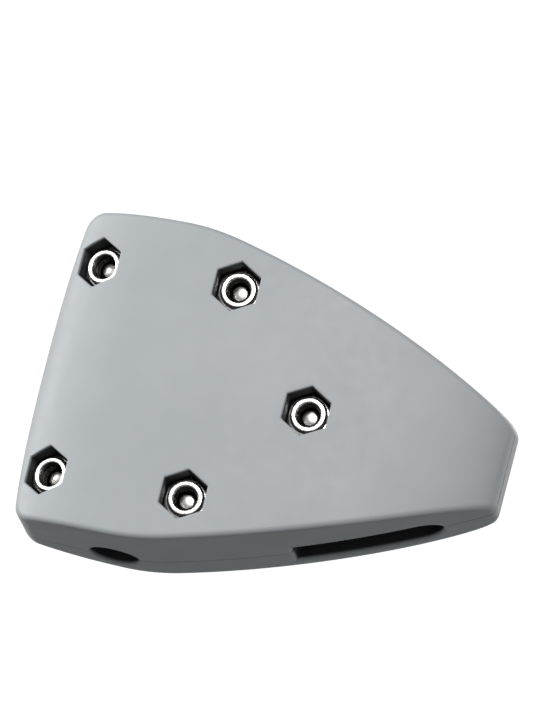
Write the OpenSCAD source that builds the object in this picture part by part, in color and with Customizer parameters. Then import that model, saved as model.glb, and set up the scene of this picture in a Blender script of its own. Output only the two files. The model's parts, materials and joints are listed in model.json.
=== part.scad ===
// Clamp-on cam cleat: a two-part moulded housing bolts round a tube, and two sprung
// toothed cams inside its nose grip a rope that runs through parallel to the tube.
//
// Frame: Z runs along the clamped tube, X from the tube towards the nose, and Y from the
// nut side (front, -Y) to the bolt-head side (rear, +Y). The origin is the middle of the
// tube bore, on the parting plane of the two shells. All sizes are in millimetres.

/* [Clamp] */
// Diameter of the tube that the housing clamps
tube_d = 12; // [10:0.5:13]
// Wall of the round barrel that holds the tube
barrel_wall = 4.5; // [3:0.5:6]

/* [Housing outline] */
// Distance from the tube axis to the tail of the housing
tail_x = 26.6; // [26:0.2:30]
// Half height of the housing at the tube
roof_z = 39.3; // [37.3:0.5:43.3]
// Radius of the shoulder where the outline starts to fall
shoulder_r = 58; // [46:1:64]
// Turn of the outline over the shoulder, in degrees
shoulder_turn = 13.6; // [12.1:0.5:14.1]
// Radius of the long brow from the shoulder to the nose
brow_r = 313; // [305:1:323]
// Slope of the brow where it meets the nose, in degrees
nose_turn = 27.5; // [27:0.1:27.8]
// Radius of the two corners of the nose
nose_r = 2.5; // [1.5:0.5:3.5]

/* [Housing depth] */
// Depth of the front shell at its crown
front_d = 20.5; // [20:0.5:24]
// Depth of the rear shell at its crown
rear_d = 10.8; // [10.5:0.1:14]
// Wall of both shells
wall = 3; // [2.4:0.2:3.2]

/* [Bolts and nuts] */
// Distance of the two mid bolts from the tube axis
bolt_x = 16.7; // [16.5:0.1:17.5]
// Distance of the two tail nuts from the tube axis
tail_nut_x = 17; // [16.8:0.1:17.2]
// Lean of the tail bolts, which sets their nuts square to the rounded tail
tail_lean = 17; // [14:1:18]
// Distance of the four clamp bolts from mid height
bolt_z = 26.1; // [24:0.1:27]
// Width of a nut pocket across its flats
pocket_af = 10.7; // [10.3:0.1:11]
// How far the top of a nut lies under the face at the mid bolts
nut_recess = 3.5; // [2.5:0.5:4]

/* [Rope slot] */
// Start of the slot, from the tube axis
slot_x = 41.7; // [41:0.1:43]
// Length of the slot along the outline
slot_len = 33.3; // [32:0.1:34]
// Width of the slot, for a 10 mm rope
slot_w = 10.6; // [10:0.2:11]
// Offset of the slot's middle behind the parting plane
slot_y = 1.3; // [1:0.1:1.6]

/* [Cams] */
// Distance of the inner cam's pivot, the fifth bolt, from the tube axis
pivot_in_x = 40.3; // [40:0.1:40.5]
// Distance of the outer cam's pivot from the tube axis
pivot_out_x = 76; // [75.5:0.1:76.5]
// Gap between the closed cams
closed_gap = 3; // [2.6:0.2:4]
// Gap between the cams at their open stop
open_gap = 10.6; // [10:0.2:11]
// Angle between the closed cam and the open stop
open_turn = 48; // [45:1:50]
// Height of the cam teeth
tooth_h = 0.9; // [0.5:0.1:1.2]

/* [Hidden] */
$fn = 64;

// Housing outline, seen along Y: centres of its tangent arcs
roof_r = 330;
tail_r = 220;
tail_corner_r = 5;
shoulder_x = 1.2;
roof_c = [shoulder_x, roof_z - roof_r];
tail_c = [tail_r - tail_x, 0];
shoulder_c = [shoulder_x, roof_z - shoulder_r];
brow_c = shoulder_c + (shoulder_r - brow_r) * [sin(shoulder_turn), cos(shoulder_turn)];
nose_c = brow_c + (brow_r - nose_r) * [sin(nose_turn), cos(nose_turn)];
nose_x = nose_c.x + nose_r;

// Housing section, seen along Z: where each shell is deepest, and how square its ends are
front_crown_x = 18;
rear_crown_x = 31;
front_tail_power = 3.3;
front_nose_power = 2.1;
rear_tail_power = 2.4;
rear_nose_power = 5.5;
section_steps = 24;
overcut = 1;

// M6 hardware
hole_r = 3.2;
shank_r = 2.95;
thread_r = 3;
nut_af = 10;
nut_h = 6;
collar_r = 4.37;
collar_h = 1.5;
collar_lip = 0.5;
insert_r = 3.85;
insert_bore_r = 2.98;
insert_h = 1.5;
tip_gap = 3;
boss_r = 8.2;
head_r = 5.25;
head_h = 3.3;
head_bore_r = 5.75;
socket_af = 4;
socket_deep = 2;

// Where the nuts and the bolt heads sit: tail pair, mid pair, cam bolt
nut_top_mid = -(front_d - nut_recess);
nut_top_tail = nut_top_mid + 3.5;
nut_top_cam = nut_top_mid + 1;
head_seat_tail = 6.4;
head_seat_mid = 5.3;
head_seat_cam = 8.3;

// Cam chamber, between a floor in each shell
floor_front = -5.5;
floor_rear = 5.8;
chamber_x0 = 28.5;
chamber_x1 = 82.6;
partition_t = 2.5;
rib_t = 2;
barrel_r = tube_d / 2 + barrel_wall;
barrel_rib_pitch = 15;

// Cams, pivots and springs
rope_x = (pivot_in_x + pivot_out_x) / 2;
pivot_gap = (pivot_out_x - pivot_in_x) / 2;
cam_front = -4.6;
cam_rear = 4.9;
hub_front = -0.6;
hub_r = 6.2;
spring_room_r = 6.7;
cam_r = pivot_gap - closed_gap / 2;
cam_open_r = pivot_gap - open_gap / 2;
cam_growth = ln(cam_r / cam_open_r) / open_turn;
cam_top_turn = 6;
cam_low_turn = -52;
teeth = 8;
bush_r = 3.9;
bush_bore_r = 3.05;
cam_bore_r = bush_r + 0.05;
spigot_r = 2.5;
spigot_front = 3.8;
spigot_rear = 1.7;
washer_t = 0.8;
washer_play = 0.05;
washer_bore_r = bush_r + 0.1;
stop_r = 2;
stop_dx = 3.1;
stop_z = -10.35;
wire_r = 0.4;
spring_r = 4.7;
spring_turns = 3.25;
spring_front = floor_front + 0.7;
spring_rear = hub_front - washer_t - washer_play - wire_r - 0.2;
spring_leg = 3;
spring_arm = 4;

// Points along an arc about c, from just past angle a0 to a1
function arc(c, r, a0, a1, n) =
    [for (i = [1 : n]) let (a = a0 + (a1 - a0) * i / n) c + r * [cos(a), sin(a)]];

// Direction of a vector, in degrees
function heading(v) = atan2(v.y, v.x);

// The upper point at distance d from p and e from q
function meet(p, d, q, e) =
    let (g = norm(q - p), u = (q - p) / g, s = (d * d - e * e + g * g) / (2 * g))
    p + s * u - sqrt(d * d - s * s) * [u.y, -u.x];

// Upper half of the outline, tail to nose, inset by w
function outline_half(w) =
    let (corner_c = meet(roof_c, roof_r - tail_corner_r, tail_c, tail_r - tail_corner_r))
    let (corner_tail = heading(corner_c - tail_c), corner_roof = heading(corner_c - roof_c))
    concat(
        [tail_c - [tail_r - w, 0]],
        arc(tail_c, tail_r - w, 180, corner_tail, 8),
        arc(corner_c, tail_corner_r - w, corner_tail, corner_roof, 8),
        arc(roof_c, roof_r - w, corner_roof, 90, 6),
        arc(shoulder_c, shoulder_r - w, 90, 90 - shoulder_turn, 6),
        arc(brow_c, brow_r - w, 90 - shoulder_turn, 90 - nose_turn, 18),
        w < nose_r ? arc(nose_c, nose_r - w, 90 - nose_turn, 0, 6) : []
    );

// The same points below the axis, nose to tail, without the first
function mirrored(points) = [for (i = [len(points) - 1 : -1 : 1]) [points[i].x, -points[i].y]];

// One quarter of a rounded section: length l, depth d, squareness p
function quarter(l, d, p) =
    [for (i = [0 : section_steps]) let (t = 90 * i / section_steps)
        [l * pow(cos(t), 2 / p), d * pow(sin(t), 2 / p)]];

// Section of one shell, inset by w, with its depth along +Y. An inset section, which is
// cut away, runs past the parting plane.
function section(crown, depth, tail_power, nose_power, w) =
    let (nose = quarter(nose_x - crown - w, depth - w, nose_power))
    let (tail = quarter(tail_x + crown - w, depth - w, tail_power))
    concat(
        w > 0 ? [[crown + nose[0].x, -overcut]] : [],
        [for (p = nose) [crown + p.x, p.y]],
        [for (i = [section_steps - 1 : -1 : 0]) [crown - tail[i].x, tail[i].y]],
        w > 0 ? [[crown - tail[0].x, -overcut]] : []
    );

// A shape drawn in X and Z, extruded from y0 to y1
module along_y(y0, y1) {
    translate([0, y1, 0])
    rotate([90, 0, 0])
    linear_extrude(y1 - y0)
    children();
}

// A cylinder along Y at (x, z), from y0 to y1
module rod(x, z, r, y0, y1) {
    translate([x, y1, z])
    rotate([90, 0, 0])
    cylinder(h = y1 - y0, r = r);
}

// A shape turned about a Y axis at x, drawn with its height along +Y
module turned(x, z, y) {
    translate([x, y, z])
    rotate([-90, 0, 0])
    rotate_extrude()
    children();
}

// Leans a tail bolt's parts about the top of its nut, towards the tube at the rear
module lean() {
    translate([-tail_nut_x, nut_top_tail, 0])
    rotate([0, 0, -tail_lean])
    translate([tail_nut_x, -nut_top_tail, 0])
    children();
}

module outline(w) {
    half = outline_half(w);
    polygon(concat(half, mirrored(half)));
}

module front_half(w) {
    intersection() {
        along_y(-2 * front_d, w > 0 ? overcut : 0) outline(w);
        translate([0, 0, -2 * roof_z])
        linear_extrude(4 * roof_z)
        mirror([0, 1]) polygon(section(front_crown_x, front_d, front_tail_power, front_nose_power, w));
    }
}

module rear_half(w) {
    intersection() {
        along_y(w > 0 ? -overcut : 0, 2 * rear_d) outline(w);
        translate([0, 0, -2 * roof_z])
        linear_extrude(4 * roof_z)
        polygon(section(rear_crown_x, rear_d, rear_tail_power, rear_nose_power, w));
    }
}

module barrel(y0, y1) {
    translate([0, 0, -2 * roof_z]) cylinder(h = 4 * roof_z, r = barrel_r);
    for (i = [-2 : 2])
        translate([-barrel_r, y0, i * barrel_rib_pitch - rib_t / 2])
        cube([2 * barrel_r, y1 - y0, rib_t]);
}

module tube_bore() {
    translate([0, 0, -2 * roof_z]) cylinder(h = 4 * roof_z, r = tube_d / 2);
}

module clamp_bosses(y0, y1) {
    for (z = [-bolt_z, bolt_z]) {
        rod(bolt_x, z, boss_r, y0, y1);
        lean() rod(-tail_nut_x, z, boss_r, y0 - 5, y1 + 5);
    }
}

module partition(y0, y1) {
    translate([chamber_x0 - partition_t, y0, -roof_z]) cube([partition_t, y1 - y0, 2 * roof_z]);
}

// Ribs in front of the cams, whose edges are the chamber's front floor
module floor_ribs() {
    for (x = [50, rope_x, 2 * rope_x - 50])
        translate([x - rib_t / 2, -front_d, -roof_z])
        cube([rib_t, front_d + floor_front, 2 * roof_z]);
    translate([chamber_x0, -front_d, -rib_t / 2])
    cube([chamber_x1 - chamber_x0, front_d + floor_front, rib_t]);
}

module cam_stops() {
    rod(pivot_in_x + stop_dx, stop_z, stop_r, -front_d, 0);
    rod(pivot_out_x - stop_dx, stop_z, stop_r, -front_d, 0);
}

// Room for the cams, from y0 to y1
module chamber(y0, y1) {
    intersection() {
        along_y(y0, y1) outline(wall);
        translate([chamber_x0, y0, -roof_z]) cube([chamber_x1 - chamber_x0, y1 - y0, 2 * roof_z]);
    }
}

module rope_slot() {
    r = slot_w / 2;
    translate([0, 0, -2 * roof_z])
    linear_extrude(4 * roof_z) {
        translate([slot_x, slot_y - r]) square([slot_len - r, slot_w]);
        translate([slot_x + slot_len - r, slot_y]) circle(r);
    }
}

module nut_pocket(x, z, top) {
    translate([x, top + nut_h, z])
    rotate([90, 0, 0])
    rotate([0, 0, 30])
    cylinder(h = front_d, r = pocket_af / sqrt(3), $fn = 6);
}

module bolt_holes(y0, y1) {
    for (z = [-bolt_z, bolt_z]) {
        rod(bolt_x, z, hole_r, y0, y1);
        lean() rod(-tail_nut_x, z, hole_r, y0 - 5, y1 + 5);
    }
    rod(pivot_in_x, 0, hole_r, y0, y1);
}

module front_shell() {
    color("silver")
    difference() {
        front_half(0);
        difference() {
            front_half(wall);
            barrel(-front_d, overcut);
            clamp_bosses(-front_d, overcut);
            partition(-front_d, overcut);
            floor_ribs();
            cam_stops();
            rod(pivot_in_x, 0, boss_r, -front_d, floor_front);
            rod(pivot_out_x, 0, hub_r, -front_d, floor_front);
        }
        difference() {
            chamber(floor_front, overcut);
            cam_stops();
        }
        tube_bore();
        bolt_holes(-2 * front_d, overcut);
        for (z = [-bolt_z, bolt_z]) {
            lean() nut_pocket(-tail_nut_x, z, nut_top_tail);
            nut_pocket(bolt_x, z, nut_top_mid);
        }
        nut_pocket(pivot_in_x, 0, nut_top_cam);
        rod(pivot_out_x, 0, spigot_r, floor_front - spigot_front - 0.1, floor_front + 0.1);
        for (x = [pivot_in_x, pivot_out_x])
            rod(x, spring_r, wire_r + 0.15, floor_front - spring_leg, floor_front + 0.1);
        difference() {
            rope_slot();
            cam_stops();
        }
    }
}

module rear_shell() {
    color("silver")
    difference() {
        rear_half(0);
        difference() {
            rear_half(wall);
            barrel(-overcut, rear_d);
            clamp_bosses(-overcut, rear_d);
            translate([chamber_x0 - partition_t, -overcut, -roof_z])
            cube([nose_x, rear_d + overcut, 2 * roof_z]);
        }
        chamber(-overcut, floor_rear);
        tube_bore();
        bolt_holes(-overcut, 2 * rear_d);
        for (z = [-bolt_z, bolt_z]) {
            lean() rod(-tail_nut_x, z, head_bore_r, head_seat_tail, 2 * rear_d);
            rod(bolt_x, z, head_bore_r, head_seat_mid, 2 * rear_d);
        }
        rod(pivot_in_x, 0, head_bore_r, head_seat_cam, 2 * rear_d);
        rod(pivot_out_x, 0, spigot_r, floor_rear - 0.1, floor_rear + spigot_rear + 0.1);
        rope_slot();
    }
}

// A button-head bolt whose head bears at y = seat, for a nut whose collar ends at y = top
module bolt(x, z, seat, top) {
    tip = top + tip_gap;
    dome_r = 6.5;
    color("gainsboro")
    difference() {
        union() {
            turned(x, z, tip)
            polygon([[0, 0], [shank_r - 1.1, 0], [shank_r - 0.3, 0.45], [shank_r, 0.9],
                [shank_r, seat - tip], [0, seat - tip]]);
            intersection() {
                rod(x, z, head_r, seat, seat + head_h);
                translate([x, seat + head_h - dome_r, z]) sphere(r = dome_r, $fn = 96);
            }
        }
        translate([x, seat + head_h + 1, z])
        rotate([90, 0, 0])
        cylinder(h = socket_deep + 1, r = socket_af / sqrt(3), $fn = 6);
    }
}

// A locking nut whose hexagon bears at y = top + nut_h and whose collar ends at y = top
module nut(x, z, top) {
    hex_h = nut_h - collar_h;
    color("gainsboro")
    difference() {
        union() {
            translate([x, top + nut_h, z])
            rotate([90, 0, 0])
            rotate([0, 0, 30])
            cylinder(h = hex_h, r = nut_af / sqrt(3), $fn = 6);
            turned(x, z, top)
            polygon([[0, 0], [collar_r - 0.5, 0], [collar_r - 0.15, 0.15], [collar_r, 0.5],
                [collar_r + 0.2, collar_h + 0.1], [0, collar_h + 0.1]]);
        }
        rod(x, z, thread_r, top - 1, top + nut_h + 1);
        rod(x, z, insert_r, top + collar_lip, top + collar_lip + insert_h);
    }
}

// The plastic locking ring inside a nut's collar
module nut_insert(x, z, top) {
    color("dimgray")
    difference() {
        rod(x, z, insert_r, top + collar_lip, top + collar_lip + insert_h);
        rod(x, z, insert_bore_r, top, top + nut_h);
    }
}

// The cam's radius at an angle above the line between the pivots
function cam_radius(a) = cam_r * exp(cam_growth * a);

// Cam outline about its pivot, with its toothed jaw towards +X
function jaw_points() =
    let (step = (cam_top_turn - cam_low_turn) / teeth)
    [for (i = [0 : teeth - 1], k = [0, 1])
        let (a = cam_low_turn + (i + 0.92 * k) * step, r = cam_radius(a) - (1 - k) * tooth_h)
        r * [cos(a), sin(a)]];

module cam_outline() {
    circle(hub_r);
    polygon(concat([[0, 0], [-1, -hub_r + 0.1]], jaw_points(), [[0, hub_r - 0.02]]));
}

module cam(x, side) {
    color("darkgray")
    translate([x, 0, 0])
    difference() {
        along_y(cam_front, cam_rear) mirror([side < 0 ? 1 : 0, 0]) cam_outline();
        rod(0, 0, cam_bore_r, cam_front - 1, cam_rear + 1);
        rod(0, 0, spring_room_r, cam_front - 1, hub_front);
    }
}

module ring(x, r, bore, y0, y1) {
    color("whitesmoke")
    difference() {
        rod(x, 0, r, y0, y1);
        rod(x, 0, bore, y0 - 1, y1 + 1);
    }
}

module pivot_bush() {
    ring(pivot_in_x, bush_r, bush_bore_r, floor_front, floor_rear);
}

module pivot_pin() {
    color("gainsboro") {
        rod(pivot_out_x, 0, bush_r, floor_front, floor_rear);
        rod(pivot_out_x, 0, spigot_r - 0.02, floor_front - spigot_front, floor_rear + spigot_rear);
    }
}

module spring_washer(x) {
    ring(x, hub_r, washer_bore_r, hub_front - washer_play - washer_t, hub_front - washer_play);
}

module thrust_washer(x) {
    ring(x, hub_r, washer_bore_r, cam_rear + washer_play, floor_rear - washer_play);
}

// Points on the spring's wire with the outward direction at each: an end leg along the
// axis, the coil, and an end leg that leaves the coil in a straight line
function spring_path() =
    let (n = 16 * spring_turns, a1 = 360 * spring_turns, end = [cos(a1), sin(a1), 0])
    concat(
        [[[spring_r, 0, floor_front - spring_leg + 0.3], [1, 0, 0]],
            [[spring_r, 0, spring_front - 1], [1, 0, 0]]],
        [for (i = [0 : n]) let (a = a1 * i / n, e = [cos(a), sin(a), 0])
            [spring_r * e + [0, 0, spring_front + (spring_rear - spring_front) * i / n], e]],
        [[spring_r * end + spring_arm * [-sin(a1), cos(a1), 0] + [0, 0, spring_rear], end]]
    );

function unit(v) = v / norm(v);

// A round wire swept along points that each carry an outward direction
module wire(path, r) {
    sides = 8;
    last = len(path) - 1;
    rings = [for (i = [0 : last])
        let (t = unit(path[min(i + 1, last)][0] - path[max(i - 1, 0)][0]))
        let (out = unit(path[i][1] - (path[i][1] * t) * t), side = cross(t, out))
        [for (k = [0 : sides - 1]) let (a = 360 * k / sides)
            path[i][0] + r * (cos(a) * out + sin(a) * side)]];
    polyhedron(
        points = [for (one = rings) each one],
        faces = concat(
            [[for (k = [0 : sides - 1]) k]],
            [for (i = [0 : last - 1], k = [0 : sides - 1]) let (m = (k + 1) % sides)
                [i * sides + m, i * sides + k, (i + 1) * sides + k, (i + 1) * sides + m]],
            [[for (k = [sides - 1 : -1 : 0]) last * sides + k]]
        )
    );
}

module spring(x, side) {
    color("silver")
    translate([x, 0, 0])
    mirror([side < 0 ? 1 : 0, 0, 0])
    rotate([0, -90, 0])
    rotate([-90, 0, 0])
    wire(spring_path(), wire_r);
}

front_shell();
rear_shell();
lean() bolt(-tail_nut_x, bolt_z, head_seat_tail, nut_top_tail);  // tail_bolt_upper
lean() bolt(-tail_nut_x, -bolt_z, head_seat_tail, nut_top_tail);  // tail_bolt_lower
bolt(bolt_x, bolt_z, head_seat_mid, nut_top_mid);  // mid_bolt_upper
bolt(bolt_x, -bolt_z, head_seat_mid, nut_top_mid);  // mid_bolt_lower
bolt(pivot_in_x, 0, head_seat_cam, nut_top_cam);  // cam_bolt
lean() nut(-tail_nut_x, bolt_z, nut_top_tail);  // tail_nut_upper
lean() nut(-tail_nut_x, -bolt_z, nut_top_tail);  // tail_nut_lower
nut(bolt_x, bolt_z, nut_top_mid);  // mid_nut_upper
nut(bolt_x, -bolt_z, nut_top_mid);  // mid_nut_lower
nut(pivot_in_x, 0, nut_top_cam);  // cam_nut
lean() nut_insert(-tail_nut_x, bolt_z, nut_top_tail);  // tail_insert_upper
lean() nut_insert(-tail_nut_x, -bolt_z, nut_top_tail);  // tail_insert_lower
nut_insert(bolt_x, bolt_z, nut_top_mid);  // mid_insert_upper
nut_insert(bolt_x, -bolt_z, nut_top_mid);  // mid_insert_lower
nut_insert(pivot_in_x, 0, nut_top_cam);  // cam_insert
cam(pivot_in_x, 1);  // inner_cam
cam(pivot_out_x, -1);  // outer_cam
pivot_bush();
pivot_pin();
spring(pivot_in_x, 1);  // inner_spring
spring(pivot_out_x, -1);  // outer_spring
spring_washer(pivot_in_x);  // inner_spring_washer
spring_washer(pivot_out_x);  // outer_spring_washer
thrust_washer(pivot_in_x);  // inner_thrust_washer
thrust_washer(pivot_out_x);  // outer_thrust_washer
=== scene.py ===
"""The looks of a cam cleat that clamps on a tube: two grey moulded shells, bright nuts and
bolts, and two toothed cams. Shapes are worked out in millimetres, in the frame's axes: Z along
the tube, X towards the nose, -Y towards the nuts. The origin is the middle of the tube bore.

Every piece is a distance field, negative inside and positive outside, whose zero surface is
made into a mesh. That way every edge can be rounded as a mould or a tool rounds it."""

import json
import math

import bpy
import numpy as np
from mathutils import Matrix, Vector


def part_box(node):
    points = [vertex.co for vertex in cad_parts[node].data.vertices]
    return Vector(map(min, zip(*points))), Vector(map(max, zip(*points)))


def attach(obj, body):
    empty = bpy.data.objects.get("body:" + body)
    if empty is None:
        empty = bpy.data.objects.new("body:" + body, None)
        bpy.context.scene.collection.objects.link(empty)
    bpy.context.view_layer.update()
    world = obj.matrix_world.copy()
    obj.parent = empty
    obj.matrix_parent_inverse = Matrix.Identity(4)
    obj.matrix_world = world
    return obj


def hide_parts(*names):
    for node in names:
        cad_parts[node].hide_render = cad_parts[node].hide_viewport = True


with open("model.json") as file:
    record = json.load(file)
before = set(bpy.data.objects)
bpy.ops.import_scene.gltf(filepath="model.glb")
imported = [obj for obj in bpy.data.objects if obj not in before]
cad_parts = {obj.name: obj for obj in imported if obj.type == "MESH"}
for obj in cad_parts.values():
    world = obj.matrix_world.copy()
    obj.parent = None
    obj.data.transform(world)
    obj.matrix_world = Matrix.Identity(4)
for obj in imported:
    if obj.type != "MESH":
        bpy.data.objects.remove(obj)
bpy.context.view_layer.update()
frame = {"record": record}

MM = 0.001


# ---------------------------------------------------------------- places read from the frame


BOXES = {}  # the boxes read so far


def box_mm(node):
    """Lowest and highest corner of a CAD node, in millimetres."""
    if node not in BOXES:
        BOXES[node] = [np.array(corner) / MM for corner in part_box(node)]
    return BOXES[node]


def middle(node):
    """Middle of a CAD node in X and Z."""
    low, high = box_mm(node)
    return (low[0] + high[0]) / 2, (low[2] + high[2]) / 2


SHELL_LOW, SHELL_HIGH = box_mm("front_shell")
TAIL_X, NOSE_X = -SHELL_LOW[0], SHELL_HIGH[0]
ROOF_Z = SHELL_HIGH[2]
FRONT_D = -SHELL_LOW[1]
REAR_D = box_mm("rear_shell")[1][1]
TUBE_R = frame["record"]["mounts"][0]["dims"]["r_mm"]

INNER_X = middle("cam_nut")[0]  # the inner cam's pivot
OUTER_X = middle("pivot_pin")[0]  # the outer cam's pivot
HEAD_H = 3.3  # a bolt's head
NUT_H = 6.0
TIP_GAP = 3.0  # from the top of a nut down to the end of its bolt
LEAN = math.radians(17)  # of the tail bolts, towards the tube at the rear
LEAN_X, LEAN_Y = -17.0, -13.5  # the top of a tail nut, about which its bolt leans
TAIL_SEAT = 6.4  # under the heads of the tail bolts


class Fastening:
    """A bolt, its nut and the nut's locking ring, on an axis along Y that may lean."""

    def __init__(self, names, leans):
        self.bolt, self.nut, self.ring = (names.format(part) for part in ("bolt", "nut", "insert"))
        self.leans = leans
        self.x, self.z = middle(self.nut)
        self.top = box_mm(self.nut)[0][1]
        self.head = box_mm(self.bolt)[1][1] - HEAD_H
        if leans:
            self.x, self.top, self.head = LEAN_X, LEAN_Y, TAIL_SEAT
        self.seat = self.top + NUT_H
        self.tip = self.top + TIP_GAP

    def upright(self, p):
        """Points turned so that the axis runs along Y."""
        if not self.leans:
            return p
        u, v = p[0] - LEAN_X, p[1] - LEAN_Y
        c, s = math.cos(LEAN), math.sin(LEAN)
        return np.array([LEAN_X + c * u - s * v, LEAN_Y + s * u + c * v, p[2]])


FASTENINGS = [
    Fastening(names, names.startswith("tail"))
    for names in ("tail_{}_upper", "tail_{}_lower", "mid_{}_upper", "mid_{}_lower", "cam_{}")
]


# ---------------------------------------------------------------- distance fields


def rounded_max(a, b, r):
    """The overlap of two solids, whose shared edge is rounded to radius r."""
    both = np.hypot(np.maximum(a + r, 0), np.maximum(b + r, 0))
    return np.minimum(np.maximum(a, b), -r) + both


def rounded_min(a, b, r):
    """Two solids joined, with a fillet of radius r between them."""
    return -rounded_max(-a, -b, r)


def cut(a, b, r):
    """Solid a with solid b taken away, and the new edge rounded to radius r."""
    return rounded_max(a, -b, r)


def union(fields):
    """Several solids as one."""
    result = fields[0]
    for field in fields[1:]:
        result = np.minimum(result, field)
    return result


def slab(v, low, high):
    """Between two parallel planes."""
    return np.maximum(low - v, v - high)


def rod(p, x, z, r, y0, y1):
    """A cylinder along Y."""
    return np.maximum(np.hypot(p[0] - x, p[2] - z) - r, slab(p[1], y0, y1))


def hexagon(p, x, z, across):
    """A hexagonal prism along Y, with corners up and down."""
    u, v = p[0] - x, p[2] - z
    sides = [np.abs(u * math.cos(a) + v * math.sin(a)) for a in np.radians([0, 60, 120])]
    return np.maximum(np.maximum(sides[0], sides[1]), sides[2]) - across / 2


class Outline:
    """The housing seen along Y: tangent arcs for the tail, roof, shoulder and brow."""

    roof_r, tail_r, tail_corner_r = 330.0, 220.0, 5.0
    shoulder_x, shoulder_r, shoulder_turn = 1.2, 58.0, math.radians(13.6)
    brow_r, nose_turn, nose_r = 313.0, math.radians(27.5), 2.5

    def __init__(self):
        self.tail_c = np.array([self.tail_r - TAIL_X, 0.0])
        self.roof_c = np.array([self.shoulder_x, ROOF_Z - self.roof_r])
        self.shoulder_c = np.array([self.shoulder_x, ROOF_Z - self.shoulder_r])
        turn = np.array([math.sin(self.shoulder_turn), math.cos(self.shoulder_turn)])
        self.brow_c = self.shoulder_c + (self.shoulder_r - self.brow_r) * turn
        turn = np.array([math.sin(self.nose_turn), math.cos(self.nose_turn)])
        self.nose_c = self.brow_c + (self.brow_r - self.nose_r) * turn
        self.corner_c = self.meet(
            self.roof_c, self.roof_r - self.tail_corner_r, self.tail_c, self.tail_r - self.tail_corner_r
        )

    @staticmethod
    def meet(p, d, q, e):
        """The upper point at distance d from p and e from q."""
        gap = np.linalg.norm(q - p)
        u = (q - p) / gap
        s = (d * d - e * e + gap * gap) / (2 * gap)
        return p + s * u - math.sqrt(d * d - s * s) * np.array([u[1], -u[0]])

    def distance(self, x, z):
        """Distance to the outline, which is the same above and below the middle."""
        z = np.abs(z)

        def arc(c, r):
            return np.hypot(x - c[0], z - c[1]) - r

        def turn(c):
            return np.degrees(np.arctan2(z - c[1], x - c[0]))

        def heading(v):
            return math.degrees(math.atan2(v[1], v[0]))

        d = np.maximum(arc(self.tail_c, self.tail_r), arc(self.roof_c, self.roof_r))
        d = np.maximum(d, np.maximum(arc(self.brow_c, self.brow_r), x - NOSE_X))
        a = turn(self.shoulder_c)
        shoulder = (a <= 90) & (a >= 90 - math.degrees(self.shoulder_turn))
        d = np.where(shoulder, arc(self.shoulder_c, self.shoulder_r), d)
        a = turn(self.nose_c)
        nose = (a >= 0) & (a <= 90 - math.degrees(self.nose_turn))
        d = np.where(nose, arc(self.nose_c, self.nose_r), d)
        a = turn(self.corner_c)
        corner = (a >= heading(self.corner_c - self.roof_c)) & (a <= heading(self.corner_c - self.tail_c))
        return np.where(corner, arc(self.corner_c, self.tail_corner_r), d)


OUTLINE = Outline()


def section(u, v, length, depth, power):
    """Distance to a rounded quarter of a section, whose squareness is power."""
    au = np.maximum(np.abs(u) / length, 1e-6)
    av = np.maximum(v / depth, 1e-6)
    s = au**power + av**power
    slope = s ** (1 / power - 1)
    steep = np.hypot(slope * au ** (power - 1) / length, slope * av ** (power - 1) / depth)
    return (s ** (1 / power) - 1) / np.maximum(steep, 1e-6)


FRONT_SECTION = 18.0, (3.3, 2.1)  # where a shell is deepest, and how square its tail and nose are
REAR_SECTION = 31.0, (2.4, 5.5)
EDGE_R = 1.4  # the round edge between the faces and the rim
SEAM_R = 0.3  # the broken edge at the parting line
POCKET_R = 0.35  # the edge of a nut pocket or a bolt bore
SLOT_R = 0.9  # the edge that the rope runs over
MOUTH_R = 0.5  # the two mouths of the tube bore
FOOT_R = 0.6  # where ribs and bosses stand on the walls
INSIDE_R = 0.3  # the edges inside a shell
FINE_R = 0.2  # the edges of stops and bolt holes
SMALL_R = 0.15  # the edges of washers, rings and pin holes


def half(p, shape, depth, inset, side):
    """One shell's outer body, or with an inset the hollow in it. side is -1 for the front."""
    crown, powers = shape
    u = p[0] - crown
    v = side * p[1]
    nose = section(u, v, NOSE_X - crown - inset, depth - inset, powers[1])
    tail = section(u, v, TAIL_X + crown - inset, depth - inset, powers[0])
    face = np.where(u > 0, nose, tail)
    rim = OUTLINE.distance(p[0], p[2]) + inset
    return rounded_max(face, rim, EDGE_R)


# Inside and through the housing
WALL = 3.0
BARREL_R = TUBE_R + 4.5  # round the tube
RIB, RIB_PITCH = 2.0, 15.0
FLOOR_RIB_X = 50.0  # the rib on the inner cam's side
BOSS_R, HOLE_R = 8.2, 3.2  # the boss round a bolt, and its hole
POCKET_ACROSS = 10.7
HEAD_BORE_R = 5.75
CHAMBER_X = (28.5, 82.6)  # the cams' chamber
PARTITION = 2.5  # the wall between the chamber and the mid bolts
FLOOR_FRONT, FLOOR_REAR = -5.5, 5.8
SLOT_X, SLOT_LENGTH = 41.7, 33.3
SLOT_WIDTH, SLOT_Y = 10.6, 1.3
STOP_DX, STOP_Z, STOP_R = 3.1, -10.35, 2.0  # the pegs that the closed cams rest on
HUB_R = 6.2  # a cam's hub
SPIGOT_R = 2.5  # an end of the pivot pin
SPIGOT_FRONT, SPIGOT_REAR = 3.9, 1.8  # how deep the floors take the pin's ends
FAR = 100.0  # past everything


def rib(v, at):
    """A rib's two faces, either side of a plane."""
    return slab(v, at - RIB / 2, at + RIB / 2)


def barrel(p):
    """The round wall of the tube bore, with the ribs that join it to the face."""
    tube = np.hypot(p[0], p[1]) - BARREL_R
    ribs = [np.maximum(rib(p[2], i * RIB_PITCH), np.abs(p[0]) - BARREL_R) for i in range(-2, 3)]
    return union([tube] + ribs)


def along_bolts(p, r, some):
    """Endless rods of radius r on the axes of some fastenings."""
    return union([rod(f.upright(p), f.x, f.z, r, -FAR, FAR) for f in some])


def clamp_bosses(p):
    """The bosses of the four bolts beside the tube."""
    return along_bolts(p, BOSS_R, FASTENINGS[:4])


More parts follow.
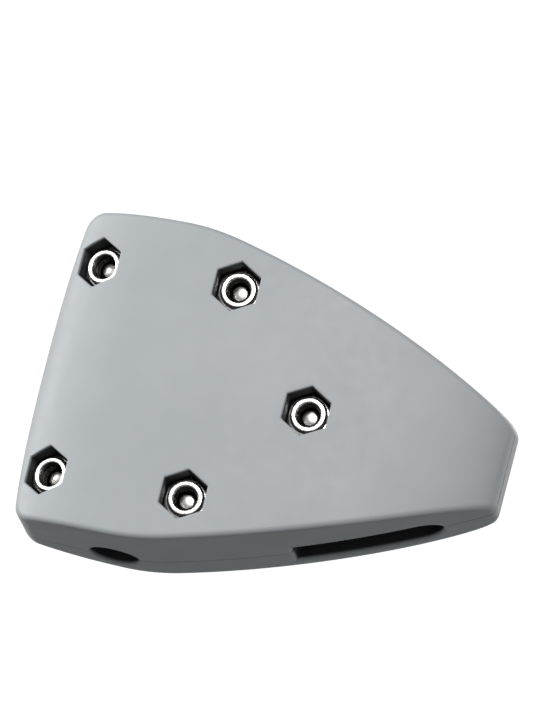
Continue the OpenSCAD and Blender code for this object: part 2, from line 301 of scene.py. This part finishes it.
def bolt_holes(p):
    return along_bolts(p, HOLE_R, FASTENINGS)


def tube_bore(p):
    return np.hypot(p[0], p[1]) - TUBE_R


def rope_slot(p):
    """The slot along Z, square at its tail end and round at its nose end."""
    r = SLOT_WIDTH / 2
    end = SLOT_X + SLOT_LENGTH - r
    v = p[1] - SLOT_Y
    straight = np.maximum(np.abs(v) - r, SLOT_X - p[0])
    return np.where(p[0] > end, np.hypot(p[0] - end, v) - r, straight)


def chamber(p, y0, y1):
    """The room for the cams, between two floors."""
    inside = OUTLINE.distance(p[0], p[2]) + WALL
    return np.maximum(np.maximum(inside, slab(p[0], *CHAMBER_X)), slab(p[1], y0, y1))


def cam_stops(p):
    """Two pegs that stand on the front shell's floor."""
    return union([rod(p, x, STOP_Z, STOP_R, -FAR, 0) for x in (INNER_X + STOP_DX, OUTER_X - STOP_DX)])


def front_body(p):
    return half(p, FRONT_SECTION, FRONT_D, 0, -1)


def rear_body(p):
    return half(p, REAR_SECTION, REAR_D, 0, 1)


def front_shell(p):
    """The deep shell: barrel, bosses, ribs, chamber, slot, nut pockets and cam stops."""
    rope_x = (INNER_X + OUTER_X) / 2
    below_floor = slab(p[1], -FAR, FLOOR_FRONT)
    ribs = [rib(p[0], x) for x in (FLOOR_RIB_X, rope_x, 2 * rope_x - FLOOR_RIB_X)]
    ribs.append(np.maximum(slab(p[0], *CHAMBER_X), rib(p[2], 0)))
    kept = union([
        barrel(p),
        clamp_bosses(p),
        slab(p[0], CHAMBER_X[0] - PARTITION, CHAMBER_X[0]),
        np.maximum(union(ribs), below_floor),
        cam_stops(p),
        rod(p, INNER_X, 0, BOSS_R, -FAR, FLOOR_FRONT),
        rod(p, OUTER_X, 0, HUB_R, -FAR, FLOOR_FRONT),
    ])
    solid = rounded_max(front_body(p), p[1], SEAM_R)
    hollow = half(p, FRONT_SECTION, FRONT_D, WALL, -1)
    solid = cut(solid, cut(hollow, kept, FOOT_R), INSIDE_R)
    solid = cut(solid, cut(chamber(p, FLOOR_FRONT, FAR), cam_stops(p), FINE_R), INSIDE_R)
    solid = cut(solid, cut(rope_slot(p), cam_stops(p), FINE_R), SLOT_R)
    solid = cut(solid, tube_bore(p), MOUTH_R)
    solid = cut(solid, bolt_holes(p), FINE_R)
    for f in FASTENINGS:
        q = f.upright(p)
        solid = cut(solid, np.maximum(hexagon(q, f.x, f.z, POCKET_ACROSS), q[1] - f.seat), POCKET_R)
    return cut(solid, rod(p, OUTER_X, 0, SPIGOT_R, FLOOR_FRONT - SPIGOT_FRONT, FAR), SMALL_R)


def rear_shell(p):
    """The shallow shell: barrel, bosses, chamber, slot and the bores for the bolt heads."""
    kept = union([barrel(p), clamp_bosses(p), CHAMBER_X[0] - PARTITION - p[0]])
    solid = rounded_max(rear_body(p), -p[1], SEAM_R)
    hollow = half(p, REAR_SECTION, REAR_D, WALL, 1)
    solid = cut(solid, cut(hollow, kept, FOOT_R), INSIDE_R)
    solid = cut(solid, chamber(p, -FAR, FLOOR_REAR), INSIDE_R)
    solid = cut(solid, rope_slot(p), SLOT_R)
    solid = cut(solid, tube_bore(p), MOUTH_R)
    solid = cut(solid, bolt_holes(p), FINE_R)
    for f in FASTENINGS:
        solid = cut(solid, rod(f.upright(p), f.x, f.z, HEAD_BORE_R, f.head, FAR), POCKET_R)
    return cut(solid, rod(p, OUTER_X, 0, SPIGOT_R, -FAR, FLOOR_REAR + SPIGOT_REAR), SMALL_R)


# ---------------------------------------------------------------- the metal and the small parts

THREAD_R, THREAD_DEPTH, PITCH = 2.95, 0.45, 1.0
PLAIN_SHANK = 1.5  # the bolt's neck without thread, under its head
TIP_DOME_R, HEAD_DOME_R, HEAD_R = 5.2, 6.5, 5.22
SOCKET_ACROSS, SOCKET_DEEP = 4.0, 2.0
NUT_ACROSS, COLLAR_R, COLLAR_H = 10.0, 4.37, 1.5
CHAMFER_SLOPE = 1.73  # the nut's corners are turned off at 30 degrees
RING_TOP, RING_BOTTOM = 0.5, 2.0  # the locking ring's ends, below the top of the collar
RING_R, RING_BORE_R = 3.85, 2.98
CLEAR = 0.02  # keeps a visible piece just inside its CAD solid
BUSH_R, BUSH_BORE_R, RUNNING_GAP = 3.9, 3.05, 0.05
SPRING_ROOM_R, HUB_FRONT = 6.7, -0.6  # the step in a cam that clears its spring
WIRE_R, COIL_R, COIL_TURNS = 0.4, 4.7, 3.25
COIL_LIFT, ARM = 0.7, 3.7  # from the floor up to the coil, and the length of a spring's arm
JAW_TOP, JAW_LOW = 6.0, -52.0  # the ends of a cam's jaw, in degrees
TEETH, TOOTH_H = 8, 0.9
TOOTH_SHARE = 0.92  # of the pitch, which a tooth's long flank takes
OPEN_TURN, CLOSED_GAP, OPEN_GAP = 48.0, 3.0, 10.6  # how far a cam turns, and the gaps between the two


def thread(p, f):
    """Radius of the screw thread all round and along a bolt, with flats on its crest and root."""
    turn = np.arctan2(p[2] - f.z, p[0] - f.x) / (2 * math.pi)
    flank = 2 * np.abs((p[1] / PITCH - turn) % 1 - 0.5)
    return THREAD_R - THREAD_DEPTH * np.clip(1.25 * flank - 0.12, 0, 1)


def bolt(f):
    """A button-head bolt: domed tip, screw thread, and a head with a hexagonal socket."""
    top = f.head + HEAD_H

    def field(p):
        p = f.upright(p)
        r = np.hypot(p[0] - f.x, p[2] - f.z)
        screw = np.where(p[1] > f.head - PLAIN_SHANK, r - THREAD_R, r - thread(p, f))
        end = np.sqrt(r**2 + (p[1] - f.tip - TIP_DOME_R) ** 2) - TIP_DOME_R
        screw = np.maximum(rounded_max(screw, end, 0.25), p[1] - f.head - 1)
        dome = np.sqrt(r**2 + (p[1] - top + HEAD_DOME_R) ** 2) - HEAD_DOME_R
        head = rounded_max(rounded_max(r - HEAD_R, dome, 0.3), f.head - p[1], 0.25)
        socket = np.maximum(hexagon(p, f.x, f.z, SOCKET_ACROSS), top - SOCKET_DEEP - p[1])
        return cut(np.minimum(screw, head), socket, 0.12)

    return field


def nut(f):
    """A locking nut: chamfered hexagon, rolled collar, and a threaded bore."""

    def field(p):
        p = f.upright(p)
        r = np.hypot(p[0] - f.x, p[2] - f.z)
        shoulder = f.top + COLLAR_H
        from_end = np.minimum(p[1] - shoulder, f.seat - p[1])
        chamfer = (r - NUT_ACROSS / 2 + 0.1 - CHAMFER_SLOPE * from_end) / 2
        body = rounded_max(hexagon(p, f.x, f.z, NUT_ACROSS), chamfer, 0.1)
        body = rounded_max(body, slab(p[1], shoulder, f.seat), 0.15)
        collar = rounded_max(r - COLLAR_R, f.top - p[1], 0.5)
        solid = rounded_min(body, np.maximum(collar, p[1] - shoulder - 1), 0.25)
        solid = cut(solid, np.maximum(r - THREAD_R - 0.05, p[1] - f.top - 1), 0.3)
        solid = cut(solid, rod(p, f.x, f.z, RING_R, f.top + RING_TOP, f.top + RING_BOTTOM), 0.05)
        bore = np.maximum(r - thread(p, f) - RUNNING_GAP, f.top + 1 - p[1])
        mouth = (r - THREAD_R - 0.3 + f.seat - p[1]) / 1.41
        return cut(solid, np.minimum(bore, mouth), 0.05)

    return field


def plain_ring(x, z, r, bore, y0, y1):
    """A ring round a Y axis with broken edges."""

    def field(p):
        away = np.hypot(p[0] - x, p[2] - z)
        side = rounded_max(away - r, bore - away, SMALL_R)
        return rounded_max(side, slab(p[1], y0, y1), SMALL_R)

    return field


def locking_ring(f):
    """The nylon ring in a nut's collar."""
    ring = plain_ring(f.x, f.z, RING_R, RING_BORE_R, f.top + RING_TOP, f.top + RING_BOTTOM)
    return lambda p: ring(f.upright(p))


def ring_like(node, x, r, bore):
    """A ring centred on the X axis, as long as its CAD node."""
    low, high = box_mm(node)
    return plain_ring(x, 0, r, bore, low[1], high[1])


def pivot_pin(p):
    """The outer cam's pin, with a thinner end in each floor."""
    low, high = box_mm("pivot_pin")
    body = rounded_max(np.hypot(p[0] - OUTER_X, p[2]) - BUSH_R, slab(p[1], FLOOR_FRONT, FLOOR_REAR), 0.3)
    ends = np.hypot(p[0] - OUTER_X, p[2]) - SPIGOT_R + CLEAR
    return np.minimum(body, rounded_max(ends, slab(p[1], low[1], high[1]), 0.4))


def jaw_outline():
    """Corners of a cam about its pivot: hub, then a jaw of saw teeth on a growing radius."""
    gap = (OUTER_X - INNER_X) / 2
    widest, narrowest = gap - CLOSED_GAP / 2, gap - OPEN_GAP / 2
    growth = math.log(widest / narrowest) / OPEN_TURN
    corners = [(0, 0), (-1, 0.1 - HUB_R)]
    step = (JAW_TOP - JAW_LOW) / TEETH
    for i in range(TEETH):
        for tip in (0, 1):
            a = JAW_LOW + (i + TOOTH_SHARE * tip) * step
            r = widest * math.exp(growth * a) - (1 - tip) * TOOTH_H
            corners.append((r * math.cos(math.radians(a)), r * math.sin(math.radians(a))))
    return corners + [(0, HUB_R - CLEAR)]


def polygon_distance(u, v, corners):
    """Distance to a polygon's edges, negative inside it."""
    nearest = np.full_like(u, FAR)
    inside = np.zeros(u.shape, dtype=bool)
    for (ax, ay), (bx, by) in zip(corners, corners[1:] + corners[:1]):
        ex, ey = bx - ax, by - ay
        along = np.clip(((u - ax) * ex + (v - ay) * ey) / (ex * ex + ey * ey), 0, 1)
        nearest = np.minimum(nearest, np.hypot(u - ax - along * ex, v - ay - along * ey))
        if ay != by:
            inside ^= ((ay > v) != (by > v)) & (u < ax + (v - ay) * ex / ey)
    return np.where(inside, -nearest, nearest)


def cam(node, x, side):
    """A cam whose jaw points along X towards side: +1 or -1."""
    corners = jaw_outline()
    low, high = box_mm(node)

    def field(p):
        u, v = side * (p[0] - x), p[2]
        r = np.hypot(u, v)
        flat = rounded_min(r - HUB_R, polygon_distance(u, v, corners), 0.4)
        body = rounded_max(flat, slab(p[1], low[1], high[1]), 0.35)
        body = cut(body, r - BUSH_R - RUNNING_GAP, 0.2)
        return cut(body, np.maximum(r - SPRING_ROOM_R, p[1] - HUB_FRONT), 0.25)

    return field


def strut(p, a, b):
    """Distance to the line from a to b."""
    run = [end - start for start, end in zip(a, b)]
    from_a = [v - start for v, start in zip(p, a)]
    length = sum(r * r for r in run)
    along = np.clip(sum(v * r for v, r in zip(from_a, run)) / length, 0, 1)
    return np.sqrt(sum((v - along * r) ** 2 for v, r in zip(from_a, run)))


def spring(node, x, side):
    """A torsion spring: a leg into the floor, a close coil, and an arm along the cam."""
    low, high = box_mm(node)
    y0, y1 = FLOOR_FRONT + COIL_LIFT, high[1] - WIRE_R
    rise = (y1 - y0) / COIL_TURNS

    def field(p):
        u, y, v = side * (p[0] - x), p[1], p[2]
        turn = np.arctan2(u, v) / (2 * math.pi)
        t = np.clip(turn + np.round((y - y0) / rise - turn), 0, COIL_TURNS)
        a = 2 * math.pi * t
        across = np.hypot(u - COIL_R * np.sin(a), v - COIL_R * np.cos(a))
        coil = np.hypot(across, y - y0 - rise * t)
        leg = strut((u, y, v), (0, low[1] + 0.05, COIL_R), (0, y0, COIL_R))
        arm = strut((u, y, v), (COIL_R, y1, 0), (COIL_R, y1, -ARM))
        return union([coil, leg, arm]) - WIRE_R + CLEAR

    return field


# ---------------------------------------------------------------- meshes


def new_object(name, points, faces):
    """A smooth-shaded mesh object from points in millimetres."""
    mesh = bpy.data.meshes.new(name)
    mesh.from_pydata((np.asarray(points) * MM).tolist(), [], [list(map(int, f)) for f in faces])
    mesh.validate()
    mesh.shade_smooth()
    made = bpy.data.objects.new(name, mesh)
    bpy.context.scene.collection.objects.link(made)
    return made


def points_of(made):
    """A mesh's points, in millimetres."""
    co = np.empty(len(made.data.vertices) * 3)
    made.data.vertices.foreach_get("co", co)
    return co.reshape(-1, 3).T / MM


def slope_of(field, p, step):
    """The field's gradient at points p, by differences over a small step."""
    parts = []
    for axis in range(3):
        shift = np.zeros((3, 1))
        shift[axis] = step
        parts.append((field(p + shift) - field(p - shift)) / (2 * step))
    return np.array(parts)


def settle(field, p, step, reach):
    """Points moved onto the field's surface, none further than reach."""
    start = p.copy()
    for _ in range(4):
        g = slope_of(field, p, step)
        p = p - g * field(p) / np.maximum((g * g).sum(0), 0.05)
        p = start + np.clip(p - start, -reach, reach)
    return p


def sample(field, low, high, cell):
    """A field's values at the corners of a grid of cells, and the place of the first corner."""
    axes = [np.arange(low[k] - 1.5 * cell, high[k] + 2 * cell, cell) for k in range(3)]
    value = np.empty([len(a) for a in axes])
    y, z = np.meshgrid(axes[1], axes[2], indexing="ij")
    for i, x in enumerate(axes[0]):
        value[i] = field(np.array([np.full_like(y, x), y, z]))
    return value, np.array([a[0] for a in axes])


def crossings(value, axis):
    """Which of the grid's edges along an axis cross the surface, and how far along each it does."""
    n = value.shape[axis]
    a, b = value.take(range(n - 1), axis), value.take(range(1, n), axis)
    crosses = (a < 0) != (b < 0)
    return crosses, np.where(crosses, a / np.where(crosses, a - b, 1), 0)


def net_points(crossed, cells):
    """The cells that the surface passes through, and the mean of the crossings on each one's edges."""
    total = np.zeros(cells + [3])
    count = np.zeros(cells)
    for axis, (crosses, share) in enumerate(crossed):
        u, v = [k for k in range(3) if k != axis]
        for du, dv in ((0, 0), (0, 1), (1, 0), (1, 1)):
            pick = [slice(0, n) for n in cells]
            pick[u] = slice(du, du + cells[u])
            pick[v] = slice(dv, dv + cells[v])
            here = crosses[tuple(pick)]
            count += here
            total[..., axis] += share[tuple(pick)]
            total[..., u] += here * du
            total[..., v] += here * dv
    used = count > 0
    return used, np.stack(np.nonzero(used), axis=1) + total[used] / count[used][:, None]


def net_faces(crossed, inside, number, cells):
    """A face round each crossed edge, from the numbered points of the four cells that share it."""
    faces = []
    for axis, (crosses, _) in enumerate(crossed):
        u, v = (axis + 1) % 3, (axis + 2) % 3
        at = np.stack(np.nonzero(crosses), axis=1)
        at = at[(at[:, u] > 0) & (at[:, v] > 0) & (at[:, u] < cells[u]) & (at[:, v] < cells[v])]
        ring = []
        for du, dv in ((1, 1), (0, 1), (0, 0), (1, 0)):
            back = at.copy()
            back[:, u] -= du
            back[:, v] -= dv
            ring.append(number[tuple(back.T)])
        quads = np.stack(ring, axis=1)
        leaving = inside[tuple(at.T)]
        faces.append(np.where(leaving[:, None], quads, quads[:, ::-1]))
    return np.concatenate(faces)


def net(field, low, high, cell):
    """Points and four-sided faces on the surface where a field is zero."""
    value, origin = sample(field, low, high, cell)
    cells = [n - 1 for n in value.shape]
    crossed = [crossings(value, axis) for axis in range(3)]
    used, points = net_points(crossed, cells)
    number = np.full(cells, -1, dtype=np.int64)
    number[used] = np.arange(used.sum())
    return (origin + cell * points).T, net_faces(crossed, value < 0, number, cells)


def moulded(name, node, field, cell, keep):
    """A piece whose surface is a field's zero, thinned to a share of its faces."""
    low, high = box_mm(node)
    p, faces = net(field, low, high, cell)
    p = settle(field, p, 0.05 * cell, 0.5 * cell)
    made = new_object(name, p.T, faces)
    thin = made.modifiers.new("thin", "DECIMATE")
    thin.ratio = keep
    depsgraph = bpy.context.evaluated_depsgraph_get()
    mesh = bpy.data.meshes.new_from_object(made.evaluated_get(depsgraph), depsgraph=depsgraph)
    made.modifiers.clear()
    made.data = mesh
    g = slope_of(field, points_of(made), 0.3 * cell)
    normals = g / np.maximum(np.linalg.norm(g, axis=0), 1e-9)
    made.data.shade_smooth()
    made.data.normals_split_custom_set_from_vertices(normals.T.tolist())
    return made


# ---------------------------------------------------------------- materials

GRAIN_DEPTH, MARK_DEPTH = 0.00003, 0.00002  # in metres
SHELL_SHADE, BORE_SHADE = (0.3, 1.1), (0.3, 1.2)  # the depths that the painted shade runs between, in mm


def new_material(name):
    """A new material, its node tree and its shader."""
    material = bpy.data.materials.new(name)
    material.use_nodes = True
    tree = material.node_tree
    return material, tree, tree.nodes["Principled BSDF"]


def noise(tree, scale, detail):
    """A noise texture fixed to the object."""
    where = tree.nodes.new("ShaderNodeTexCoord")
    texture = tree.nodes.new("ShaderNodeTexNoise")
    texture.inputs["Scale"].default_value = scale
    texture.inputs["Detail"].default_value = detail
    texture.inputs["Roughness"].default_value = 0.55
    tree.links.new(where.outputs["Object"], texture.inputs["Vector"])
    return texture.outputs["Fac"]


def remap(tree, value, low, high, start=0.3, end=0.7):
    """A value from start to end, spread over low to high."""
    node = tree.nodes.new("ShaderNodeMapRange")
    node.inputs["From Min"].default_value = start
    node.inputs["From Max"].default_value = end
    node.inputs["To Min"].default_value = low
    node.inputs["To Max"].default_value = high
    tree.links.new(value, node.inputs["Value"])
    return node.outputs["Result"]


def blend_colours(tree, factor, a, b):
    """Colour a where the factor is 0, and b where it is 1."""
    node = tree.nodes.new("ShaderNodeMix")
    node.data_type = "RGBA"
    node.inputs[6].default_value = (*a, 1)
    node.inputs[7].default_value = (*b, 1)
    tree.links.new(factor, node.inputs[0])
    return node.outputs[2]


def bump(tree, shader, height, strength, distance):
    """Relief on the surface, distance metres deep."""
    node = tree.nodes.new("ShaderNodeBump")
    node.inputs["Strength"].default_value = strength
    node.inputs["Distance"].default_value = distance
    tree.links.new(height, node.inputs["Height"])
    tree.links.new(node.outputs["Normal"], shader.inputs["Normal"])


def shade_inside(tree, colour, inside, start, end):
    """Painted shade: the colour, deepened towards the inside colour from start to end millimetres down, as
    add_depth measures it.
    """
    depth = tree.nodes.new("ShaderNodeAttribute")
    depth.attribute_name = "depth"
    node = tree.nodes.new("ShaderNodeMix")
    node.data_type = "RGBA"
    node.inputs[7].default_value = (*inside, 1)
    tree.links.new(colour, node.inputs[6])
    tree.links.new(remap(tree, depth.outputs["Fac"], 0, 1, start, end), node.inputs[0])
    return node.outputs[2]


def moulded_plastic(name, dark, light, rough, inside=None):
    """Satin moulded plastic: a fine spark-eroded grain and faint cloudy mottling; given an inside colour,
    painted shade in its recesses.
    """
    material, tree, shader = new_material(name)
    cloud = remap(tree, noise(tree, 45, 3), 0, 1)
    colour = blend_colours(tree, cloud, dark, light)
    # painted shade: darker towards the inside colour the deeper a point lies
    if inside:
        colour = shade_inside(tree, colour, inside, *SHELL_SHADE)
    tree.links.new(colour, shader.inputs["Base Color"])
    tree.links.new(remap(tree, noise(tree, 300, 5), *rough), shader.inputs["Roughness"])
    shader.inputs["Specular IOR Level"].default_value = 0.4
    bump(tree, shader, noise(tree, 2600, 3), 0.25, GRAIN_DEPTH)
    return material


def metal(name, dark, light, rough, inside=None):
    """Bare metal with small marks and uneven polish; given an inside colour, painted shade down a bore."""
    material, tree, shader = new_material(name)
    shader.inputs["Metallic"].default_value = 1
    cloud = remap(tree, noise(tree, 220, 4), 0, 1)
    colour = blend_colours(tree, cloud, dark, light)
    # painted shade: darker towards the inside colour the deeper a point lies in the bore
    if inside:
        colour = shade_inside(tree, colour, inside, *BORE_SHADE)
    tree.links.new(colour, shader.inputs["Base Color"])
    tree.links.new(remap(tree, noise(tree, 700, 5), *rough), shader.inputs["Roughness"])
    bump(tree, shader, noise(tree, 900, 5), 0.3, MARK_DEPTH)
    return material


MATERIALS = {
    # the housing's last colour is the painted shade in its pockets, slot and hollows
    "housing_plastic": moulded_plastic(
        "housing_plastic", (0.30, 0.32, 0.335), (0.325, 0.345, 0.36), (0.52, 0.62), (0.02, 0.02, 0.022)
    ),
    # the stainless's last colour is the painted shade down the nut bores and bolt threads
    "stainless": metal(
        "stainless", (0.64, 0.63, 0.61), (0.76, 0.75, 0.73), (0.2, 0.36), (0.055, 0.052, 0.05)
    ),
    "lock_ring_nylon": moulded_plastic(
        "lock_ring_nylon", (0.012, 0.012, 0.014), (0.02, 0.02, 0.022), (0.3, 0.4)
    ),
    "bush_plastic": moulded_plastic("bush_plastic", (0.02, 0.02, 0.022), (0.03, 0.03, 0.032), (0.35, 0.45)),
    "cam_metal": metal("cam_metal", (0.34, 0.36, 0.40), (0.44, 0.46, 0.50), (0.3, 0.45)),
    "spring_steel": metal("spring_steel", (0.5, 0.5, 0.48), (0.62, 0.62, 0.6), (0.2, 0.3)),
}


# ---------------------------------------------------------------- the pieces

SHELL_CELL = 0.4
SMALL_CELL = 0.18
SHELL_KEEP, SMALL_KEEP = 0.3, 0.5  # the share of its faces that a piece keeps
UNSHADED_END_R = 1.7  # the middle of a bolt's end, left out of the painted shade in the bore


def add_piece(node, ending, field, body="housing", cell=SMALL_CELL, keep=SMALL_KEEP):
    """A modelled piece that stands in for one CAD node."""
    slot = next(part["material_slot"] for part in frame["record"]["subparts"] if part["node"] == node)
    made = moulded(node + ending, node, field, cell, keep)
    made.data.materials.append(MATERIALS[slot])
    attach(made, body)
    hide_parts(node)
    return made


def add_depth(made, depth):
    """Stores a depth in millimetres at each point, which sets how far the painted shade has deepened."""
    made.data.attributes.new("depth", "FLOAT", "POINT").data.foreach_set("value", np.clip(depth, 0, FAR))


def add_shell(node, field, outer):
    """A shell with painted shade, darker the further a point lies inside its outer shape."""
    made = add_piece(node, "_moulding", field, cell=SHELL_CELL, keep=SHELL_KEEP)
    add_depth(made, -outer(points_of(made)))


def darken_bore(made, f):
    """Painted shade: darkens a nut's bore and the bolt in it with depth, but for the middle of the bolt's
    end.
    """
    p = f.upright(points_of(made))
    r = np.hypot(p[0] - f.x, p[2] - f.z)
    bore = (r < THREAD_R + 0.2) & (r > UNSHADED_END_R) & (p[1] < f.seat)
    add_depth(made, np.where(bore, p[1] - f.top, 0))


def add_fastening(f):
    """A bolt, its nut and the nut's locking ring."""
    darken_bore(add_piece(f.bolt, "_turned", bolt(f)), f)
    darken_bore(add_piece(f.nut, "_forged", nut(f)), f)
    add_piece(f.ring, "_ring", locking_ring(f))


def add_cam(name, x, side):
    """A cam with its spring and its two washers."""
    node = name + "_cam"
    add_piece(node, "_casting", cam(node, x, side), body=node)
    node = name + "_spring"
    add_piece(node, "_wire", spring(node, x, side))
    for node in (name + "_spring_washer", name + "_thrust_washer"):
        add_piece(node, "_ring", ring_like(node, x, HUB_R, BUSH_R + 0.1))


add_shell("front_shell", front_shell, front_body)
add_shell("rear_shell", rear_shell, rear_body)
for fastening in FASTENINGS:
    add_fastening(fastening)
add_cam("inner", INNER_X, 1)
add_cam("outer", OUTER_X, -1)
add_piece("pivot_bush", "_sleeve", ring_like("pivot_bush", INNER_X, BUSH_R, BUSH_BORE_R))
add_piece("pivot_pin", "_turned", pivot_pin)


# ---------------------------------------------------------------- camera, light and floor

VIEW_TURN = math.radians(12)  # round the tube, from square on
VIEW_RISE = math.radians(-13.8)  # the camera looks up at the cleat
VIEW_ROLL = math.radians(14.4)  # the tube leans to the right
VIEW_HEIGHT = 0.1688
VIEW_MIDDLE = Vector((0.0235, 0.001, 0.016))
VIEW_DISTANCE = 0.6
LIGHT_AIM = Vector((0.03, 0, 0))
FLOOR_Z, FLOOR_REACH = -0.6, 3.0
SHADE_PATCH = (0.9, 1.6)  # where the painted shade patch under the cleat starts and stops fading
FRONT_GLOW, BACK_GLOW, SKY_GLOW = 0.4, 1.06, 0.3


def add_camera():
    """An orthographic camera at the angle of the picture."""
    back = Vector((
        math.sin(VIEW_TURN) * math.cos(VIEW_RISE),
        -math.cos(VIEW_TURN) * math.cos(VIEW_RISE),
        math.sin(VIEW_RISE),
    ))
    right = Vector((math.cos(VIEW_TURN), math.sin(VIEW_TURN), 0))
    up = back.cross(right)
    across = math.cos(VIEW_ROLL) * right + math.sin(VIEW_ROLL) * up
    upward = math.cos(VIEW_ROLL) * up - math.sin(VIEW_ROLL) * right
    data = bpy.data.cameras.new("camera")
    data.type = "ORTHO"
    data.ortho_scale = VIEW_HEIGHT
    data.clip_end = 10
    camera = bpy.data.objects.new("camera", data)
    turn = Matrix((across, upward, back)).transposed()
    camera.matrix_world = Matrix.Translation(VIEW_MIDDLE + VIEW_DISTANCE * back) @ turn.to_4x4()
    bpy.context.scene.collection.objects.link(camera)
    bpy.context.scene.camera = camera


def add_softbox(name, place, size, watts):
    """A square area light that points at the middle of the housing."""
    data = bpy.data.lights.new(name, "AREA")
    data.shape = "SQUARE"
    data.size = size
    data.energy = watts
    lamp = bpy.data.objects.new(name, data)
    lamp.location = place
    lamp.rotation_euler = (LIGHT_AIM - Vector(place)).to_track_quat("-Z", "Y").to_euler()
    bpy.context.scene.collection.objects.link(lamp)


def add_stage():
    """A plain floor, pale but for a patch of painted shade under the cleat."""
    corners = [(x, y, FLOOR_Z) for x, y in ((-1, -1), (1, -1), (1, 1), (-1, 1))]
    corners = np.array(corners) * (FLOOR_REACH, FLOOR_REACH, 1)
    made = new_object("stage", corners / MM, [(0, 1, 2, 3)])
    material, tree, shader = new_material("stage")
    shader.inputs["Roughness"].default_value = 0.9
    where = tree.nodes.new("ShaderNodeTexCoord")
    away = tree.nodes.new("ShaderNodeVectorMath")
    away.operation = "LENGTH"
    tree.links.new(where.outputs["Object"], away.inputs[0])
    tone = remap(tree, away.outputs["Value"], 0, 1, *SHADE_PATCH)
    # painted shade: grey under the cleat, pale further out
    colour = blend_colours(tree, tone, (0.22, 0.22, 0.22), (0.85, 0.85, 0.85))
    tree.links.new(colour, shader.inputs["Base Color"])
    made.data.materials.append(material)


def add_world():
    """A pale band round the horizon, brightest behind the cleat, under a dim sky."""
    world = bpy.data.worlds.new("world")
    world.use_nodes = True
    tree = world.node_tree
    where = tree.nodes.new("ShaderNodeTexCoord")
    split = tree.nodes.new("ShaderNodeSeparateXYZ")
    tree.links.new(where.outputs["Generated"], split.inputs[0])
    band = remap(tree, split.outputs["Z"], 1, SKY_GLOW, 0.3, 0.6)
    behind = remap(tree, split.outputs["Y"], FRONT_GLOW, BACK_GLOW, 0.1, 0.7)
    glow = tree.nodes.new("ShaderNodeMath")
    glow.operation = "MULTIPLY"
    tree.links.new(band, glow.inputs[0])
    tree.links.new(behind, glow.inputs[1])
    tree.nodes["Background"].inputs["Color"].default_value = (1, 1, 1, 1)
    tree.links.new(glow.outputs[0], tree.nodes["Background"].inputs["Strength"])
    bpy.context.scene.world = world


add_camera()
add_stage()
add_world()
add_softbox("key", (0.12, -1.03, 0.38), 0.45, 10.5)
add_softbox("side", (-0.75, -0.7, 0.26), 0.3, 1.4)
add_softbox("rim", (-0.9, -0.12, 0.1), 0.3, 6.5)
add_softbox("back", (0.35, 0.8, 0.55), 0.4, 5)
bpy.context.scene.view_settings.view_transform = "Standard"
